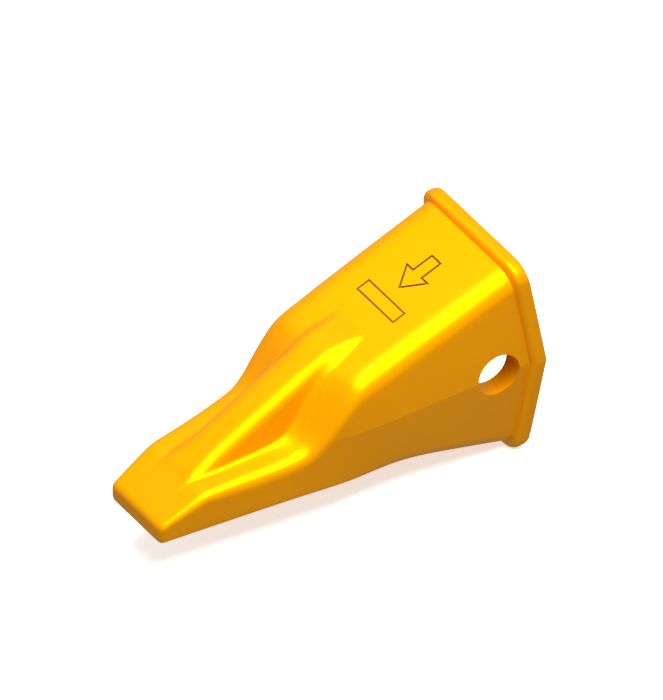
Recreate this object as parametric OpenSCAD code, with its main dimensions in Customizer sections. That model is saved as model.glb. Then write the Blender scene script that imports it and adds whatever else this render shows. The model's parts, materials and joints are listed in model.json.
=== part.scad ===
/* [Socket body] */
// Half height of the body above the pin axis, measured at the pin
body_half_height = 74.4; // [72:0.1:77]
// Half width of the body at the parting line, measured at the pin
body_half_width = 60.8; // [58:0.1:63]
// Fall of the top and bottom faces towards the tip, per mm of length
face_slope = 0.3125; // [0.305:0.0005:0.32]
// Narrowing of the sides towards the tip, per mm of length
side_taper = 0.04; // [0.03:0.005:0.05]
// Casting draft of the sides above and below the parting line
side_draft = 0.09; // [0.06:0.01:0.12]
// Radius of the four long edges of the body
body_edge_radius = 16.5; // [14:0.5:19]

/* [Rear collar] */
// Distance from the pin axis back to the rear edge at the parting line
rear_reach = 38; // [36:0.5:40]
// Lean of the rear edge, forward for each mm away from the parting line
rear_lean = 0.13; // [0.10:0.005:0.16]
// Length of the collar along the body
collar_length = 12.5; // [11:0.5:15]
// Height of the collar above the sides of the body
collar_rise = 4.2; // [3:0.1:5]
// Half height of the collar
collar_half_height = 85.6; // [85:0.1:88]

/* [Point] */
// Distance from the pin axis to the end of the tip
tip_reach = 268.5; // [264:0.5:273]
// Height of the upper edge of the tip, below the pin axis
tip_top = -29.4; // [-31:0.1:-28]
// Height of the underside of the tip, below the pin axis
tip_under = -44.8; // [-46:0.1:-43]
// Rise of the chisel face and of the rib behind it, per mm back from the tip
chisel_slope = 0.476; // [0.46:0.002:0.49]
// Half width of the tip
tip_half_width = 30.8; // [29:0.1:32]
// Widening of the blade, per mm back from the tip
blade_taper = 0.155; // [0.14:0.005:0.17]
// Radius of the edges round the tip
tip_edge_radius = 3.2; // [2:0.1:4]

/* [Rib and shoulders] */
// Half width of the rib at the middle of its flanks
rib_half_width = 13.3; // [12:0.1:15]
// Radius of the two long edges of the rib
rib_edge_radius = 11; // [9:0.5:12]
// Steepest angle of the flanks of the rib
rib_flank_angle = 80; // [70:1:84]
// Height of the shoulders beside the rib, below the pin axis
shoulder_z = -10; // [-12:0.1:-9]
// Fall of the shoulders towards the tip, per mm of length
shoulder_slope = 0.025; // [0.01:0.005:0.04]
// Slope of the ramp from the shoulders up to the top face
ramp_slope = 1.42; // [1.34:0.02:1.5]

/* [Pin hole and socket] */
// Diameter of the pin hole through both ears
pin_hole_diameter = 34; // [30:0.5:38]
// Thickness of the socket walls
wall = 15; // [13:0.5:17]
// Depth of the socket in front of the pin axis
socket_reach = 86; // [85:1:95]
// Half height of the socket at its front end
socket_front_half_height = 34; // [28:1:38]

/* [Cast mark] */
// Depth of the engraved arrow and of the blank lot plate
mark_depth = 0.9; // [0.5:0.1:1.5]
// Width of the engraved lines
mark_line = 1.6; // [1.2:0.1:2.5]

/* [Hidden] */

// ---- curve helpers ----
function clamp01(t) = max(0, min(1, t));
function ease(t) = let (c = clamp01(t)) c * c * (3 - 2 * c);
function between(x, from, to) = ease((x - from) / (to - from));
function mix(a, b, t) = a + (b - a) * t;
function lower_of(a, b, soft) = (a + b - sqrt((a - b) * (a - b) + soft * soft)) / 2;
function upper_of(a, b, soft) = (a + b + sqrt((a - b) * (a - b) + soft * soft)) / 2;
// how far a rounded rim of radius r falls back at a distance d from its end
function rim_fall(d, r) = d >= r ? 0 : r - sqrt(r * r - (r - d) * (r - d));

// ---- lengthwise lines, seen from the side ----
// the rear rim leans: fully behind the first station, no longer in front of the second
lean_ends = -8;
upright_from = 45;
// station at which the height of the shoulders is given
shoulder_x = 161;
// a point on the ramp at the outer edge; beside the rib the ramp stands further forward
ramp_x = 130;
ramp_z = 16.3;
ramp_bulge = 4;
bulge_y = 20;
edge_y = 46;
// how softly the ramp runs into the shoulders and into the top face
ramp_foot_soft = 14;
ramp_top_soft = 8;
// the rib bends over here and runs back nearly level into the top face
bend_x = 112;
bend_z = 45;
bend_slope = 0.12;
bend_soft = 2;
// how softly the shoulders leave the chisel face
shoulder_soft = 1.5;
// the rib dies out where it stands less than this above the surface beside it
rib_gone = 0.2;
rib_full = 1.6;
// the underside is nearly level in front of this station and falls away behind it
belly_x = 165;
belly_slope = 0.095;
belly_soft = 12;
level_slope = 0.016;
under_soft = 4;

function lean(s) = rear_lean * (1 - between(s, lean_ends, upright_from));
function face_z(s) = (body_half_height - face_slope * s) / (1 + face_slope * lean(s));
function chisel_z(x) = tip_top + chisel_slope * (tip_reach - x);
function crest_z(x) =
    lower_of(chisel_z(x), max(face_z(x), bend_z + bend_slope * (bend_x - x)), bend_soft);
function low_shoulder(x) =
    lower_of(shoulder_z - shoulder_slope * (x - shoulder_x), chisel_z(x), shoulder_soft);
function band_z(x, y) =
    let (forward = ramp_bulge * (1 - between(y, bulge_y, edge_y)))
    let (ramp = ramp_z + ramp_slope * (ramp_x + forward - x))
    lower_of(face_z(x), upper_of(ramp, low_shoulder(x), ramp_foot_soft), ramp_top_soft);
// height of the surface at the foot of the rib, and of its outer edge
function base_z(x) = band_z(x, bulge_y);
function outer_z(x) = band_z(x, edge_y);
// height of the rib above its foot, dying out softly at both ends
function rib_height(x) =
    let (gap = crest_z(x) - base_z(x))
    gap <= 0 ? 0 : gap * between(gap, rib_gone, rib_full);
function under_z(x) =
    let (belly = belly_slope * upper_of(0, belly_x - x, belly_soft))
    let (level = level_slope * (tip_reach - x) - belly)
    -upper_of(face_z(x), -tip_under - level, under_soft);

// ---- widths, seen from above ----
// the body flares out of the blade on this line
flare_x = 126;
flare_y = 54;
flare_slope = 0.36;
flare_soft = 3;
body_soft = 5;
function broad(x) = body_half_width - side_taper * x;
function flare(x) = flare_y - flare_slope * (x - flare_x);
function slim(x) = tip_half_width + blade_taper * (tip_reach - x);
function half_width(x) =
    lower_of(broad(x), upper_of(slim(x), flare(x), flare_soft), body_soft);

// ---- roundings and draft, changing along the casting ----
blade_edge_radius = 9.5;
tip_corner_radius = 4;
blade_under_radius = 4;
// the foot of the rib is rounder on the ramp than on the blade
ramp_foot_radius = 10;
blade_foot_radius = 5;
function draft(x) = side_draft * (1 - between(x, 90, 180));
function foot_radius(x) = mix(ramp_foot_radius, blade_foot_radius, between(x, 130, 180));
function top_radius(x) =
    let (blade = mix(blade_edge_radius, tip_corner_radius, between(x, 190, tip_reach)))
    mix(body_edge_radius, blade, between(x, 90, 150));
function under_radius(x) = mix(body_edge_radius, blade_under_radius, between(x, 45, 150));

// ---- collar ----
collar_front = collar_length - rear_reach;
bead_radius = 4.5;
rear_radius = 3;
function bead(s) = let (t = clamp01((collar_front - s) / bead_radius)) sqrt(1 - (1 - t) * (1 - t));
function end_fall(s) = rim_fall(s + rear_reach, rear_radius)
    + rim_fall(tip_reach - s, tip_edge_radius);

// ---- half section at station s, from the top centre round to the bottom centre ----
flat_steps = [0, 0.5, 1];
edge_turns = 5;
foot_turns = 5;
band_steps = [0.2, 0.45, 0.72, 1];
top_turns = 6;
under_turns = 5;
least_turn = 25;

// the top edge of the flank stands this share of the edge radius inside the rib's half width
edge_share = 0.6;
// least height of the parting line below the rounded top edge
parting_gap = 0.5;

// top surface from the centre out to last_y: flat of the rib, rounded edge, flank, rounded
// foot and shoulder; the flank turns less where the rib is low
function top_profile(s, last_y) =
    let (height = rib_height(s))
    let (base = base_z(s))
    let (crest = base + height)
    let (r1 = rib_edge_radius)
    let (r2 = foot_radius(s))
    let (wanted = acos(1 - min(1, height / (r1 + r2))))
    let (turn = max(least_turn, min(rib_flank_angle, wanted)))
    let (curved = (r1 + r2) * (1 - cos(turn)))
    let (squash = min(1, height / curved))
    let (straight = max(0, height - curved))
    let (flat = rib_half_width - edge_share * r1 * sin(turn))
    let (foot = flat + (r1 + r2) * sin(turn) + straight / tan(turn))
    concat(
        [for (t = flat_steps) [t * flat, crest]],
        [for (k = [1:edge_turns]) let (a = turn * k / edge_turns)
            [flat + r1 * sin(a), crest - squash * r1 * (1 - cos(a))]],
        [for (k = [1:foot_turns]) let (a = turn * (1 - k / foot_turns))
            [foot - r2 * sin(a), base + squash * r2 * (1 - cos(a))]],
        [for (t = band_steps) let (y = mix(foot, last_y, t)) [y, band_z(s, y)]]);

function half_section(s) =
    let (drop = end_fall(s))
    let (w = half_width(s) + collar_rise * bead(s) - drop)
    let (d = draft(s) + side_taper * lean(s))
    let (rise = (collar_half_height - face_z(s)) * bead(s) - drop)
    let (top_edge = outer_z(s) + rise)
    let (under_edge = under_z(s) - rise)
    let (r1 = top_radius(s))
    let (r2 = under_radius(s))
    let (z1 = top_edge - r1)
    let (z2 = under_edge + r2)
    let (turn1 = atan(z1 > 0 ? d : -d))
    let (turn2 = atan(d))
    let (y1 = w - d * abs(z1 + r1 * sin(turn1)) - r1 * cos(turn1))
    let (y2 = w - d * abs(z2 - r2 * sin(turn2)) - r2 * cos(turn2))
    let (parting = min(0, z1 - parting_gap))
    concat(
        [for (p = top_profile(s, y1)) p + [0, rise]],
        [for (k = [1:top_turns]) let (a = mix(90, turn1, k / top_turns))
            [y1 + r1 * cos(a), z1 + r1 * sin(a)]],
        [[w - d * abs(parting), parting]],
        [for (k = [0:under_turns]) let (a = mix(-turn2, -90, k / under_turns))
            [y2 + r2 * cos(a), z2 + r2 * sin(a)]],
        [[0.5 * y2, under_edge], [0, under_edge]]);

// ---- half section of the socket: a tapered pocket for the nose, open at the rear ----
// the walls thin a little towards the mouth, and the mouth has a rounded lip
mouth_half_width = body_half_width - wall + 0.4;
mouth_half_height = body_half_height - wall + 8.8;
lip_radius = 2;
socket_corner = 12;
socket_nose = 10;
// the side walls close in by this much along the wedge
wedge_narrowing = 6.6;
// the wedge ends here and steps in to a short straight seat that steadies the nose
wedge_end = 67;
seat_start = 64;
seat_end = 76;
seat_side_step = 4;
seat_height_step = 8;
top_count = len(flat_steps) + edge_turns + foot_turns + len(band_steps);

function socket_half(s) =
    let (along = clamp01((s + rear_reach) / (wedge_end + rear_reach)))
    let (seat = between(s, seat_start, seat_end))
    let (spread = rim_fall(s + rear_reach, lip_radius) - rim_fall(socket_reach - s, socket_nose))
    let (w = mouth_half_width - wedge_narrowing * along - seat_side_step * seat + spread)
    let (tall = mix(mouth_half_height, socket_front_half_height, along))
    let (h = tall - seat_height_step * seat + spread)
    let (r = min(socket_corner, 0.9 * h))
    concat(
        [for (k = [0:top_count - 1]) [(w - r) * k / (top_count - 1), h]],
        [for (k = [1:top_turns]) let (a = 90 * (1 - k / top_turns))
            [w - r + r * cos(a), h - r + r * sin(a)]],
        [[w, 0]],
        [for (k = [0:under_turns]) let (a = -90 * k / under_turns)
            [w - r + r * cos(a), r - h + r * sin(a)]],
        [[0.5 * (w - r), -h], [0, -h]]);

half_count = len(half_section(0));
ring_count = 2 * half_count - 2;
// the whole ring of a half section at station s; it leans with the rear rim
function ring(s, half) =
    let (shift = lean(s))
    [for (k = [0:ring_count - 1])
        let (side = k < half_count ? 1 : -1)
        let (p = k < half_count ? half[k] : half[ring_count - k])
        [s + shift * abs(p[1]), side * p[0], p[1]]];

// ---- stations of the outside: rear rim, collar, body, ramp, blade, tip ----
function steps(from, to, count) = [for (k = [0:count - 1]) mix(from, to, k / count)];
// stations that open a rounded rim at its start, and those that close one at its end
rim_turns = 4;
function rounding(at, r) = [for (k = [0:rim_turns - 1]) at + r * (1 - cos(90 * k / rim_turns))];
function closing(at, r) =
    [for (k = [0:rim_turns]) at - r * (1 - sin(90 * k / rim_turns))];
outside = concat(
    rounding(-rear_reach, rear_radius),
    [-rear_reach + rear_radius],
    closing(collar_front, bead_radius),
    [collar_front + 0.4],
    steps(-14, 76, 8),
    steps(76, 172, 20),
    steps(172, 240, 10),
    [240, 252],
    closing(tip_reach, tip_edge_radius));

// stations of the socket, from its front end back to the lip of the mouth
inside = concat(
    [for (k = [0:rim_turns]) socket_reach - socket_nose * (1 - cos(90 * k / rim_turns))],
    steps(seat_end - 2, wedge_end - 5, 4),
    steps(wedge_end - 5, 4 - rear_reach, 6),
    [for (k = [0:rim_turns]) lip_radius * cos(90 * k / rim_turns) - rear_reach]);

function strip(a, b) = [for (k = [0:ring_count - 1])
    let (n = (k + 1) % ring_count)
    each [[a + k, a + n, b + n], [a + k, b + n, b + k]]];
// flat end: a fan of triangles round the centre point, way +1 or -1 turns it outwards
function fan(a, centre, way) = [for (k = [0:ring_count - 1])
    let (n = (k + 1) % ring_count)
    way > 0 ? [centre, a + k, a + n] : [centre, a + n, a + k]];

// one closed wall: out of the socket, round the rear rim and forward to the tip
module shell() {
    rings = concat(
        [for (s = inside) ring(s, socket_half(s))],
        [for (s = outside) ring(s, half_section(s))]);
    last = ring_count * (len(rings) - 1);
    all = ring_count * len(rings);
    tip_middle = (tip_top + tip_under) / 2;
    polyhedron(
        points = concat([for (r = rings) each r],
            [[socket_reach, 0, 0], [tip_reach, 0, tip_middle]]),
        faces = concat(
            fan(0, all, -1),
            fan(last, all + 1, 1),
            [for (k = [0:len(rings) - 2]) each strip(ring_count * k, ring_count * (k + 1))]),
        convexity = 8);
}

module pin_hole() {
    rotate([90, 0, 0])
        cylinder(h = 4 * body_half_width, d = pin_hole_diameter, center = true, $fn = 64);
}

// ---- plain cast mark on the top face: an arrow to the tip and a blank lot plate ----
mark_x = 26.8;
plate_x = 58.8;
// the cutter stands this far out of the face
mark_clear = 3;
arrow = [[-17, -6], [0, -6], [0, -14], [18, 0], [0, 14], [0, 6], [-17, 6]];
plate = [[-6, -22.5], [6, -22.5], [6, 22.5], [-6, 22.5]];

module outline(points) {
    difference() {
        polygon(points);
        offset(delta = -mark_line)
            polygon(points);
    }
}

module cast_mark() {
    face_angle = atan(face_slope);
    for (mark = [[mark_x, arrow], [plate_x, plate]])
        translate([mark[0], 0, face_z(mark[0])])
            rotate([0, face_angle, 0])
                translate([0, 0, -mark_depth])
                    linear_extrude(height = mark_depth + mark_clear)
                        outline(mark[1]);
}

tooth_yellow = [1, 0.72, 0.05];

module tooth_casting() {
    color(tooth_yellow)
        difference() {
            shell();
            pin_hole();
            cast_mark();
        }
}

tooth_casting();
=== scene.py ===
# %% [markdown]
# # A cast digging tooth
#
# The object is one steel casting: a blunt chisel tip, a rib between two low shoulders, a ramp
# up to a wedge-shaped socket body, a raised collar, and a cross pin hole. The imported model
# gives its place and size. This lesson rebuilds its skin as a smooth subdivision surface,
# cuts the pin hole and the cast mark, and paints it in glossy yellow enamel.

import json
import math

import bmesh
import bpy
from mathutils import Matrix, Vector


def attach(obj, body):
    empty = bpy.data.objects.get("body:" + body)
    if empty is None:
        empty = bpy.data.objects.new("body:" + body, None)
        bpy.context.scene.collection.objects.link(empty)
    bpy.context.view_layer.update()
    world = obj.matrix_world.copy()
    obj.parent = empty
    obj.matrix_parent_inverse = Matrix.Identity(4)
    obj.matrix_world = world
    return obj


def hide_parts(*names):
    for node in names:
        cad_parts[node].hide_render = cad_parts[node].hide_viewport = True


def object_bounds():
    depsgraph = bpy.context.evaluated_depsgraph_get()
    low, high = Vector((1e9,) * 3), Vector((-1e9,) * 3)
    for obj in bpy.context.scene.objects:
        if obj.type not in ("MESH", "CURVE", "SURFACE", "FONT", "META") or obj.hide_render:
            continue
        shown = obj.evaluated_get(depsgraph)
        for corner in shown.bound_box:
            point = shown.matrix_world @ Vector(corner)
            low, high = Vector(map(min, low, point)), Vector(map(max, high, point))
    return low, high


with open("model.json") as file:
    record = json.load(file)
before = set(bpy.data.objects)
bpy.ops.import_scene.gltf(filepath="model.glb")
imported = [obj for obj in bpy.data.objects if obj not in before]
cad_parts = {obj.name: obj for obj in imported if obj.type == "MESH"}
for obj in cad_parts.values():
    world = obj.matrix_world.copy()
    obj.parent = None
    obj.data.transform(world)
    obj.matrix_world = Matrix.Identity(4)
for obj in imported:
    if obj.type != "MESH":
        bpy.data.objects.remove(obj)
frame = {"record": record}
cad_low, cad_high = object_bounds()

# %% [markdown]
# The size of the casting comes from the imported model: its box gives the reach of the tip and
# of the rear edge and the size of the collar, and its pin hole is a mount with a radius.
# Everything below is in metres, and `MM` turns millimetres into metres.

# %% Sizes from the frame
MM = 0.001
mounts = {mount["name"]: mount for mount in frame["record"]["mounts"]}
pin_radius = mounts["pin_bore"]["dims"]["r_mm"] * MM
tip_x = cad_high.x
rear_x = cad_low.x
collar_half_height = cad_high.z
print("pin hole radius", pin_radius, "tip", round(tip_x, 4), "rear", round(rear_x, 4))

# %% [markdown]
# A casting like this is drawn as a few long lines: the sloping top face, the chisel face of
# the tip, the low shoulders beside the rib, and the ramp that joins them. Each line is a
# straight rule, and `lower_of` and `upper_of` blend two of them with a soft corner, as the
# sand mould does. The same lines carry the surface at every station along the tooth.

# %% Soft blends between straight lines
def ease(t):
    t = max(0.0, min(1.0, t))
    return t * t * (3 - 2 * t)


def between(x, start, end):
    """0 before start, 1 after end, and a smooth rise between them."""
    return ease((x - start) / (end - start))


def mix(a, b, t):
    return a + (b - a) * t


def lower_of(a, b, soft):
    return (a + b - math.hypot(a - b, soft)) / 2


def upper_of(a, b, soft):
    return (a + b + math.hypot(a - b, soft)) / 2


def rim_fall(distance, radius):
    """How far a rounded rim falls back at a distance from its end."""
    if distance >= radius:
        return 0.0
    return radius - math.sqrt(max(0.0, radius**2 - (radius - distance) ** 2))


# %% Driving sizes of the casting, in metres
body_half_height = 74.4 * MM
body_half_width = 60.8 * MM
face_slope = 0.3125
side_taper = 0.04
side_draft = 0.09
body_edge_radius = 16.5 * MM
rear_lean = 0.13
collar_length = 12.5 * MM
collar_rise = 4.2 * MM
tip_top = -29.4 * MM
tip_under = -44.8 * MM
chisel_slope = 0.476
tip_half_width = 30.8 * MM
tip_edge_radius = 3.2 * MM
blade_taper = 0.155
rib_half_width = 13.3 * MM
rib_edge_radius = 11 * MM
rib_flank_angle = math.radians(80)
shoulder_slope = 0.025
ramp_slope = 1.42

# %% Where the lines stand, and how softly they meet
lean_ends, upright_from = -8 * MM, 45 * MM
shoulder_x, shoulder_level, shoulder_soft = 161 * MM, -10 * MM, 1.5 * MM
ramp_x, ramp_level, ramp_bulge = 130 * MM, 16.3 * MM, 4 * MM
bulge_y, edge_y = 20 * MM, 46 * MM
ramp_foot_soft, ramp_top_soft = 14 * MM, 8 * MM
bend_x, bend_level, bend_slope, bend_soft = 112 * MM, 45 * MM, 0.12, 2 * MM
rib_gone, rib_full = 0.2 * MM, 1.6 * MM
belly_x, belly_slope, belly_soft = 165 * MM, 0.095, 12 * MM
level_slope, under_soft = 0.016, 4 * MM
flare_x, flare_y, flare_slope, flare_soft = 126 * MM, 54 * MM, 0.36, 3 * MM
body_soft = 5 * MM
blade_edge_radius, tip_corner_radius, blade_under_radius = 9.5 * MM, 4 * MM, 4 * MM
ramp_foot_radius, blade_foot_radius = 10 * MM, 5 * MM


# %% Heights along the casting
def lean(s):
    """How far the section at station s leans forward for each metre of height."""
    return rear_lean * (1 - between(s, lean_ends, upright_from))


def face_z(s):
    return (body_half_height - face_slope * s) / (1 + face_slope * lean(s))


def chisel_z(x):
    return tip_top + chisel_slope * (tip_x - x)


def crest_z(x):
    """The rib: the chisel face carried on, then bent over into the top face."""
    bent = bend_level + bend_slope * (bend_x - x)
    return lower_of(chisel_z(x), max(face_z(x), bent), bend_soft)


def shoulder_z(x):
    level = shoulder_level - shoulder_slope * (x - shoulder_x)
    return lower_of(level, chisel_z(x), shoulder_soft)


def band_z(x, y):
    """Height of the surface beside the rib: shoulder, ramp and top face."""
    forward = ramp_bulge * (1 - between(y, bulge_y, edge_y))
    ramp = ramp_level + ramp_slope * (ramp_x + forward - x)
    return lower_of(face_z(x), upper_of(ramp, shoulder_z(x), ramp_foot_soft), ramp_top_soft)


def rib_height(x):
    """How far the rib stands up; it dies out softly at both ends."""
    gap = crest_z(x) - band_z(x, bulge_y)
    return 0.0 if gap <= 0 else gap * between(gap, rib_gone, rib_full)


def under_z(x):
    """Nearly level under the blade, falling away behind it until it meets the body."""
    belly = belly_slope * upper_of(0.0, belly_x - x, belly_soft)
    level = level_slope * (tip_x - x) - belly
    return -upper_of(face_z(x), -tip_under - level, under_soft)


# %% Widths along the casting
def half_width(x):
    """The broad body, the slim blade, and the line on which one flares into the other."""
    broad = body_half_width - side_taper * x
    slim = tip_half_width + blade_taper * (tip_x - x)
    flare = flare_y - flare_slope * (x - flare_x)
    return lower_of(broad, upper_of(slim, flare, flare_soft), body_soft)


def draft(x):
    return side_draft * (1 - between(x, 90 * MM, 180 * MM))


def foot_radius(x):
    """The foot of the rib is rounder on the ramp than on the blade."""
    return mix(ramp_foot_radius, blade_foot_radius, between(x, 130 * MM, 180 * MM))


def top_radius(x):
    blade = mix(blade_edge_radius, tip_corner_radius, between(x, 190 * MM, tip_x))
    return mix(body_edge_radius, blade, between(x, 90 * MM, 150 * MM))


def under_radius(x):
    return mix(body_edge_radius, blade_under_radius, between(x, 45 * MM, 150 * MM))


collar_front = rear_x + collar_length
bead_radius = 4.5 * MM
rear_radius = 3 * MM


def bead(s):
    """0 on the body, rising round the front of the collar to 1 on its crown."""
    t = max(0.0, min(1.0, (collar_front - s) / bead_radius))
    return math.sqrt(max(0.0, 1 - (1 - t) ** 2))


# %% [markdown]
# A section is half a ring of points, from the top centre round to the bottom centre. Its
# columns always come in the same order: the flat of the rib, its rounded edge, its flank and
# rounded foot, the shoulder band, the rounded top edge, the parting line half way down the
# side, and the rounded lower edge. Because the order never changes, rings can be joined
# column to column, and the columns become clean lines of quads along the tooth.

# %% Points of one section
flat_steps = [0, 0.5, 1]
edge_turns = 5
foot_turns = 5
band_steps = [0.2, 0.45, 0.72, 1]
top_turns = 6
under_turns = 5
least_turn = math.radians(25)
edge_share = 0.6
parting_gap = 1.5 * MM


def top_profile(s, last_y):
    """Top surface from the centre out to last_y: flat, rounded edge, flank, foot, shoulder."""
    height = rib_height(s)
    base = band_z(s, bulge_y)
    r1, r2 = rib_edge_radius, foot_radius(s)
    wanted = math.acos(1 - min(1.0, height / (r1 + r2)))
    turn = max(least_turn, min(rib_flank_angle, wanted))
    curved = (r1 + r2) * (1 - math.cos(turn))
    squash = min(1.0, height / curved)
    straight = max(0.0, height - curved)
    flat = rib_half_width - edge_share * r1 * math.sin(turn)
    foot = flat + (r1 + r2) * math.sin(turn) + straight / math.tan(turn)
    points = [(t * flat, base + height) for t in flat_steps]
    for k in range(1, edge_turns + 1):
        a = turn * k / edge_turns
        points.append((flat + r1 * math.sin(a), base + height - squash * r1 * (1 - math.cos(a))))
    for k in range(1, foot_turns + 1):
        a = turn * (1 - k / foot_turns)
        points.append((foot - r2 * math.sin(a), base + squash * r2 * (1 - math.cos(a))))
    for t in band_steps:
        y = mix(foot, last_y, t)
        points.append((y, band_z(s, y)))
    return points


def half_ring(w, slant, top_edge, under_edge, r_top, r_under, profile):
    """Half a section from its half width, draft, edges and radii; profile(y) gives the top."""
    z_top = top_edge - r_top
    z_under = under_edge + r_under
    turn_top = math.atan(slant if z_top > 0 else -slant)
    turn_under = math.atan(slant)
    y_top = w - slant * abs(z_top + r_top * math.sin(turn_top)) - r_top * math.cos(turn_top)
    y_under = w - slant * abs(z_under - r_under * math.sin(turn_under))
    y_under -= r_under * math.cos(turn_under)
    points = profile(y_top)
    for k in range(1, top_turns + 1):
        a = mix(math.pi / 2, turn_top, k / top_turns)
        points.append((y_top + r_top * math.cos(a), z_top + r_top * math.sin(a)))
    parting = min(0.0, z_top - parting_gap)
    points.append((w - slant * abs(parting), parting))
    for k in range(under_turns + 1):
        a = mix(-turn_under, -math.pi / 2, k / under_turns)
        points.append((y_under + r_under * math.cos(a), z_under + r_under * math.sin(a)))
    points += [(0.5 * y_under, under_edge), (0.0, under_edge)]
    return points


def outer_half(s):
    fall = rim_fall(s - rear_x, rear_radius) + rim_fall(tip_x - s, tip_edge_radius)
    rise = (collar_half_height - face_z(s)) * bead(s) - fall
    width = half_width(s) + collar_rise * bead(s) - fall

    def profile(last_y):
        return [(y, z + rise) for y, z in top_profile(s, last_y)]

    return half_ring(width, draft(s) + side_taper * lean(s), band_z(s, edge_y) + rise,
                     under_z(s) - rise, top_radius(s), under_radius(s), profile)


half_count = len(outer_half(0))
ring_count = 2 * half_count - 2
parting_column = half_count - under_turns - 4
print("columns round the casting:", ring_count, "- parting line is column", parting_column)


# %% Inner section: the socket
wall = 15 * MM
socket_reach = 86 * MM
lip_radius = 2 * MM
socket_corner = 12 * MM
socket_nose = 10 * MM
wedge_start, wedge_end = rear_x - 8 * MM, 67 * MM
side_rear, side_front = body_half_width - wall + 0.8 * MM, body_half_width - wall - 6.2 * MM
height_rear, height_front = body_half_height - wall + 11.1 * MM, 34 * MM
seat_start, seat_end, seat_side, seat_height = 64 * MM, 76 * MM, 4 * MM, 8 * MM


def inner_half(s):
    """Half a section of the socket wall, shrinking to the seat at its front end."""
    along = min(1.0, (s - wedge_start) / (wedge_end - wedge_start))
    seat = between(s, seat_start, seat_end)
    spread = rim_fall(s - rear_x, lip_radius) - rim_fall(socket_reach - s, socket_nose)
    w = mix(side_rear, side_front, along) - seat_side * seat + spread
    h = mix(height_rear, height_front, along) - seat_height * seat + spread
    r = min(socket_corner, 0.9 * h)

    def profile(last_y):
        count = len(top_profile(s, last_y))
        return [(last_y * k / (count - 1), h) for k in range(count)]

    return half_ring(w, 0.0, h, -h, r, r, profile)


# %% [markdown]
# The skin is lofted the way a modeller draws a fuselage: a circle of vertices is the first
# ring, every further ring is an edge extrusion of the last one, and each new ring is moved
# onto its section. The loft starts at the tip, runs back over the blade, the ramp and the
# body to the collar, turns round the rear rim and goes back in to the end of the socket, so
# that the outside, the rim and the inside are one closed wall, as they are in the casting.

# %% Edit-mode helpers
def leave_edit():
    if bpy.context.object and bpy.context.object.mode != "OBJECT":
        bpy.ops.object.mode_set(mode="OBJECT")


def start_clean():
    """Nothing is selected, so the next operator acts only on what it adds."""
    leave_edit()
    bpy.ops.object.select_all(action="DESELECT")


def pick_only(piece):
    start_clean()
    piece.select_set(True)
    bpy.context.view_layer.objects.active = piece


def finish_modifier(piece, kind, **settings):
    pick_only(piece)
    modifier = piece.modifiers.new(kind.title(), kind)
    for key, value in settings.items():
        setattr(modifier, key, value)
    bpy.ops.object.modifier_apply(modifier=modifier.name)


def full_ring(half):
    """Both sides of a section: the given half, then its mirror image back to the top."""
    return half + [(-y, z) for y, z in reversed(half[1:-1])]


def move_ring_onto(mesh_edit, column, s, half, shift):
    """Moves the selected ring of vertices onto a section that leans with the rear rim."""
    ring = full_ring(half)
    for vertex in mesh_edit.verts:
        if vertex.select:
            y, z = ring[vertex[column]]
            vertex.co = (s + shift * abs(z), y, z)


# %% Stations of the loft, from the tip to the rear rim and into the socket
def round_stations(end, radius, way, turns=4):
    """Stations that follow a quarter circle of a rounded rim."""
    return [end + way * radius * (1 - math.cos(math.pi / 2 * k / turns)) for k in range(turns)]


blade = [tip_x - t * MM for t in (5, 9, 16, 24, 30, 34, 38, 42, 47)]
shoulders = [mix(216 * MM, 160 * MM, k / 9) for k in range(10)]
ramp = [mix(156 * MM, 84 * MM, k / 18) for k in range(19)]
body = [t * MM for t in (78, 70, 58, 44, 30, 16, 4, -5, -12, -18, -21.5, -23.6)]
beads = [collar_front - bead_radius * (1 - math.sin(math.pi / 8 * k)) for k in (4, 3, 2, 1, 0)]
crown = [collar_front - 6 * MM]
outer_stations = list(round_stations(tip_x, tip_edge_radius, -1))
outer_stations += [tip_x - tip_edge_radius] + blade + shoulders + ramp + body
outer_stations += [collar_front + 0.5 * MM] + beads + crown
outer_stations += list(reversed(round_stations(rear_x, rear_radius, 1)))
inner_stations = list(round_stations(rear_x, lip_radius, 1))
inner_stations += [rear_x + t * MM for t in (2.4, 5, 12, 24, 38, 54, 70, 84, 94)]
inner_stations += [t * MM for t in (60, 64, 67, 70, 74)]
inner_stations += list(reversed(round_stations(socket_reach, socket_nose, -1, 5)))
print("rings outside and inside:", len(outer_stations), len(inner_stations))


# %% Loft the casting ring by ring
def add_first_ring(half, s):
    start_clean()
    bpy.ops.mesh.primitive_circle_add(vertices=ring_count, radius=tip_half_width)
    casting = bpy.context.object
    casting.name = "tooth_casting_skin"
    bpy.ops.object.mode_set(mode="EDIT")
    mesh_edit = bmesh.from_edit_mesh(casting.data)
    column = mesh_edit.verts.layers.int.new("column")
    mesh_edit.verts.ensure_lookup_table()
    for index, vertex in enumerate(mesh_edit.verts):
        vertex[column] = index
        vertex.select = True
    mesh_edit.select_flush(True)
    move_ring_onto(mesh_edit, column, s, half, 0.0)
    bmesh.update_edit_mesh(casting.data)
    return casting


def extrude_ring(casting, s, half, shift):
    bpy.ops.mesh.extrude_region_move()
    mesh_edit = bmesh.from_edit_mesh(casting.data)
    column = mesh_edit.verts.layers.int["column"]
    move_ring_onto(mesh_edit, column, s, half, shift)
    bmesh.update_edit_mesh(casting.data)


def close_ring(shrink_steps):
    """Closes a flat end: the ring is extruded inwards, then merged at its centre."""
    for scale in shrink_steps:
        bpy.ops.mesh.extrude_region_move()
        bpy.ops.transform.resize(value=(1, scale, scale))
    bpy.ops.mesh.extrude_region_move()
    bpy.ops.mesh.merge(type="CENTER")


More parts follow.
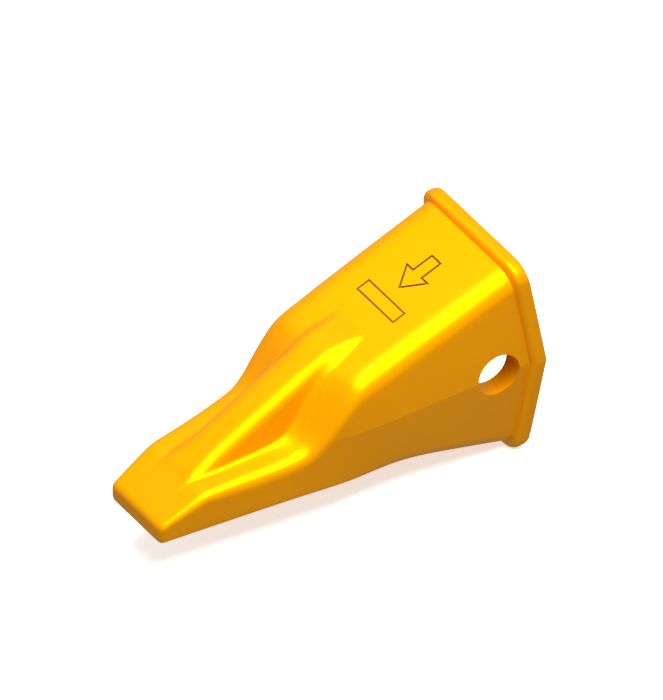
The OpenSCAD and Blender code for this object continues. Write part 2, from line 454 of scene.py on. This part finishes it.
casting = add_first_ring(outer_half(outer_stations[0]), outer_stations[0])
for s in outer_stations[1:]:
    extrude_ring(casting, s, outer_half(s), lean(s))
for s in inner_stations:
    extrude_ring(casting, s, inner_half(s), lean(s))
close_ring((0.8, 0.4))
print("loft:", len(casting.data.vertices), "vertices before the tip is closed")


# %% Close the tip and turn every face outwards
def select_places(piece, test, kind="VERT"):
    """In edit mode, selects the vertices, edges or faces whose middle passes a test."""
    bpy.ops.mesh.select_mode(type=kind)
    bpy.ops.mesh.select_all(action="DESELECT")
    mesh_edit = bmesh.from_edit_mesh(piece.data)
    items = {"VERT": mesh_edit.verts, "EDGE": mesh_edit.edges, "FACE": mesh_edit.faces}[kind]
    for item in items:
        if kind == "VERT":
            middle = item.co
        elif kind == "EDGE":
            middle = (item.verts[0].co + item.verts[1].co) / 2
        else:
            middle = item.calc_center_median()
        item.select_set(bool(test(middle, item)))
    mesh_edit.select_flush_mode()
    bmesh.update_edit_mesh(piece.data)
    return sum(item.select for item in items)


select_places(casting, lambda middle, vertex: vertex.is_boundary and middle.x > tip_x - 0.1 * MM)
tip_middle = (tip_top + tip_under) / 2
bpy.ops.mesh.extrude_region_move()
bpy.ops.transform.resize(value=(1, 0.9, 0.8), center_override=(tip_x, 0, tip_middle))
close_ring((0.7, 0.4))
bpy.ops.mesh.select_all(action="SELECT")
bpy.ops.mesh.normals_make_consistent(inside=False)
leave_edit()
print("closed loft:", len(casting.data.polygons), "quads and fan triangles")

# %% [markdown]
# The mould halves meet on the parting line, and the sides lean in above and below it, so the
# line shows as a crisp edge. A crease keeps the subdivision surface sharp there. It runs from
# the tip of the rear rim forward along both sides and dies out where the ramp begins.

# %% Crease the parting line
def on_parting_line(middle, edge):
    column = bmesh.from_edit_mesh(casting.data).verts.layers.int["column"]
    columns = {edge.verts[0][column], edge.verts[1][column]}
    sides = {parting_column, ring_count - parting_column}
    outside = abs(middle.y) > 0.65 * body_half_width
    return len(columns) == 1 and columns <= sides and outside and middle.x < 140 * MM


pick_only(casting)
bpy.ops.object.mode_set(mode="EDIT")
found = select_places(casting, on_parting_line, "EDGE")
bpy.ops.transform.edge_crease(value=1.0)
bpy.ops.mesh.mark_sharp()
leave_edit()
print("creased edges on the parting line:", found)
finish_modifier(casting, "SUBSURF", levels=2, render_levels=2)
print("smooth skin:", len(casting.data.polygons), "quads")

# %% [markdown]
# The paint is a golden yellow enamel sprayed over the casting. It is glossy, with a fine
# orange peel, and its tone drifts a little where the coat is thicker. The engraved lines
# are painted a dull dark brown: painted shade that stands in for the shadow inside the grooves.

# %% Enamel paint
def node(tree, kind, **values):
    made = tree.nodes.new(kind)
    for key, value in values.items():
        setattr(made, key, value)
    return made


def enamel_paint():
    paint = bpy.data.materials.new("golden_enamel")
    paint.use_nodes = True
    tree = paint.node_tree
    shader = tree.nodes["Principled BSDF"]
    place = node(tree, "ShaderNodeTexCoord")
    drift = node(tree, "ShaderNodeTexNoise")
    drift.inputs["Scale"].default_value = 14
    drift.inputs["Detail"].default_value = 3
    tone = node(tree, "ShaderNodeValToRGB")
    tone.color_ramp.elements[0].color = (0.78, 0.285, 0.0003, 1)
    tone.color_ramp.elements[1].color = (0.84, 0.325, 0.0004, 1)
    peel = node(tree, "ShaderNodeTexNoise")
    peel.inputs["Scale"].default_value = 420
    peel.inputs["Detail"].default_value = 2
    bump = node(tree, "ShaderNodeBump")
    bump.inputs["Strength"].default_value = 0.06
    bump.inputs["Distance"].default_value = 0.0004
    link = tree.links.new
    link(place.outputs["Object"], drift.inputs["Vector"])
    link(place.outputs["Object"], peel.inputs["Vector"])
    link(drift.outputs["Fac"], tone.inputs["Fac"])
    link(tone.outputs["Color"], shader.inputs["Base Color"])
    link(peel.outputs["Fac"], bump.inputs["Height"])
    link(bump.outputs["Normal"], shader.inputs["Normal"])
    shader.inputs["Metallic"].default_value = 0.4
    shader.inputs["Roughness"].default_value = 0.42
    shader.inputs["Specular Tint"].default_value = (1, 0.8, 0.0, 1)
    return paint


# The groove material is painted shade: a dark brown that stands in for the shadow inside the
# engraved lines.
def groove_shade_paint():
    fill = bpy.data.materials.new("painted_groove_shade")
    fill.use_nodes = True
    tree = fill.node_tree
    shader = tree.nodes["Principled BSDF"]
    place = node(tree, "ShaderNodeTexCoord")
    shade_mottle = node(tree, "ShaderNodeTexNoise")
    shade_mottle.inputs["Scale"].default_value = 300
    tone = node(tree, "ShaderNodeValToRGB")
    # Dark brown painted shade, mottled a little by the noise.
    tone.color_ramp.elements[0].color = (0.16, 0.07, 0.002, 1)
    tone.color_ramp.elements[1].color = (0.26, 0.12, 0.004, 1)
    tree.links.new(place.outputs["Object"], shade_mottle.inputs["Vector"])
    tree.links.new(shade_mottle.outputs["Fac"], tone.inputs["Fac"])
    tree.links.new(tone.outputs["Color"], shader.inputs["Base Color"])
    shader.inputs["Roughness"].default_value = 0.8
    return fill


painted_groove_shade = groove_shade_paint()
casting.data.materials.clear()
casting.data.materials.append(enamel_paint())
print("materials:", [material.name for material in bpy.data.materials])

# %% [markdown]
# The cross pin hole is drilled straight through both ears after casting, so it is cut with a
# plain cylinder. A difference keeps its edge crisp where it breaks out of the sloping sides.

# %% Drill the pin hole
def cut(piece, cutter, **settings):
    finish_modifier(piece, "BOOLEAN", operation="DIFFERENCE", solver="EXACT", object=cutter,
                    **settings)
    bpy.data.objects.remove(cutter)


start_clean()
bpy.ops.mesh.primitive_cylinder_add(vertices=128, radius=pin_radius, depth=4 * body_half_width,
                                    rotation=(math.pi / 2, 0, 0))
cut(casting, bpy.context.object)
print("after drilling:", len(casting.data.polygons), "faces")

# %% [markdown]
# Foundries cast a mark in the top face. Here it is a plain arrow that points to the tip and
# an empty lot plate. Each is a flat outline: a polygon whose inset is deleted, so that only
# the line is left, which is then extruded through the skin of the metal. The two cutters are
# joined and cut at once, and the faces that they leave take the cutter's painted shade.

# %% Cast mark
mark_depth = 1.4 * MM
mark_line = 1.6 * MM
arrow = [(-17, -6), (0, -6), (0, -14), (18, 0), (0, 14), (0, 6), (-17, 6)]
plate = [(-6, -22.5), (6, -22.5), (6, 22.5), (-6, 22.5)]


def line_cutter(outline, x):
    """A groove cutter: the outline's line, extruded from above the top face to the depth."""
    start_clean()
    bpy.ops.mesh.primitive_circle_add(vertices=len(outline), radius=10 * MM, fill_type="NGON")
    cutter = bpy.context.object
    for vertex, (along, across) in zip(cutter.data.vertices, outline):
        vertex.co = (along * MM, across * MM, -mark_depth)
    bpy.ops.object.mode_set(mode="EDIT")
    bpy.ops.mesh.select_all(action="SELECT")
    bpy.ops.mesh.inset(thickness=mark_line)
    bpy.ops.mesh.delete(type="FACE")
    bpy.ops.mesh.select_all(action="SELECT")
    bpy.ops.mesh.extrude_region_move(TRANSFORM_OT_translate={"value": (0, 0, 4 * MM)})
    bpy.ops.mesh.select_all(action="SELECT")
    bpy.ops.mesh.normals_make_consistent(inside=False)
    leave_edit()
    cutter.rotation_euler = (0, math.atan(face_slope), 0)
    cutter.location = (x, 0, face_z(x))
    # The cutter carries the painted groove shade.
    cutter.data.materials.append(painted_groove_shade)
    return cutter


arrow_cutter = line_cutter(arrow, 26.8 * MM)
plate_cutter = line_cutter(plate, 58.8 * MM)
start_clean()
plate_cutter.select_set(True)
arrow_cutter.select_set(True)
bpy.context.view_layer.objects.active = arrow_cutter
bpy.ops.object.join()
# Material transfer paints the groove walls and floors with the painted shade.
cut(casting, arrow_cutter, material_mode="TRANSFER")
brown = sum(face.material_index == 1 for face in casting.data.polygons)
print("faces in the engraved lines:", brown)
pick_only(casting)
bpy.ops.object.shade_smooth_by_angle(angle=math.radians(32), keep_sharp_edges=True)
print("finished casting:", len(casting.data.polygons), "faces")

# %% The casting takes its place in the frame
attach(casting, "root")
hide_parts("tooth_casting")

# %% [markdown]
# The stage is a plain pale floor under a soft studio: a broad lamp overhead, a long narrow one
# on the near side that draws the bright line along the edges, and a pale sky.

# %% Floor
start_clean()
bpy.ops.mesh.primitive_plane_add(size=30, location=(0.1, 0, cad_low.z))
floor = bpy.context.object
floor.name = "floor"
floor_paint = bpy.data.materials.new("pale_floor")
floor_paint.use_nodes = True
floor_shader = floor_paint.node_tree.nodes["Principled BSDF"]
floor_shader.inputs["Base Color"].default_value = (0.9, 0.9, 0.9, 1)
floor_shader.inputs["Roughness"].default_value = 1.0
floor_shader.inputs["Emission Color"].default_value = (1, 1, 1, 1)
floor_shader.inputs["Emission Strength"].default_value = 0.55
floor.data.materials.append(floor_paint)
floor.visible_diffuse = False
floor.visible_glossy = False


# %% Lamps and sky
def lamp(name, way, size, power, distance=1.5):
    """A rectangular lamp that stands in a direction from the casting and faces it."""
    data = bpy.data.lights.new(name, "AREA")
    data.shape = "RECTANGLE"
    data.size, data.size_y = size
    data.energy = power
    made = bpy.data.objects.new(name, data)
    bpy.context.scene.collection.objects.link(made)
    way = Vector(way).normalized()
    made.location = Vector((0.1, 0, 0)) + way * distance
    made.rotation_euler = (-way).to_track_quat("-Z", "Y").to_euler()
    return made


lamp("overhead", (0.08, 0.05, 1), (1.0, 1.0), 37)
lamp("edge_light", (-0.06, 0.54, 0.84), (1.2, 0.12), 15)
sky = bpy.data.worlds.new("pale_sky")
bpy.context.scene.world = sky
sky.use_nodes = True
sky.node_tree.nodes["Background"].inputs["Color"].default_value = (1, 1, 1, 1)
sky.node_tree.nodes["Background"].inputs["Strength"].default_value = 0.45
bpy.context.scene.view_settings.view_transform = "Standard"

# %% Camera
camera_data = bpy.data.cameras.new("camera")
camera_data.type = "ORTHO"
camera_data.ortho_scale = 0.49
camera = bpy.data.objects.new("camera", camera_data)
bpy.context.scene.collection.objects.link(camera)
azimuth, elevation = math.radians(145), math.radians(41.5)
back = Vector((math.sin(azimuth) * math.cos(elevation),
               -math.cos(azimuth) * math.cos(elevation), math.sin(elevation)))
camera.location = Vector((73.3, -39.5, -11.0)) * MM + back * 2
camera.rotation_euler = (-back).to_track_quat("-Z", "Y").to_euler()
bpy.context.scene.camera = camera
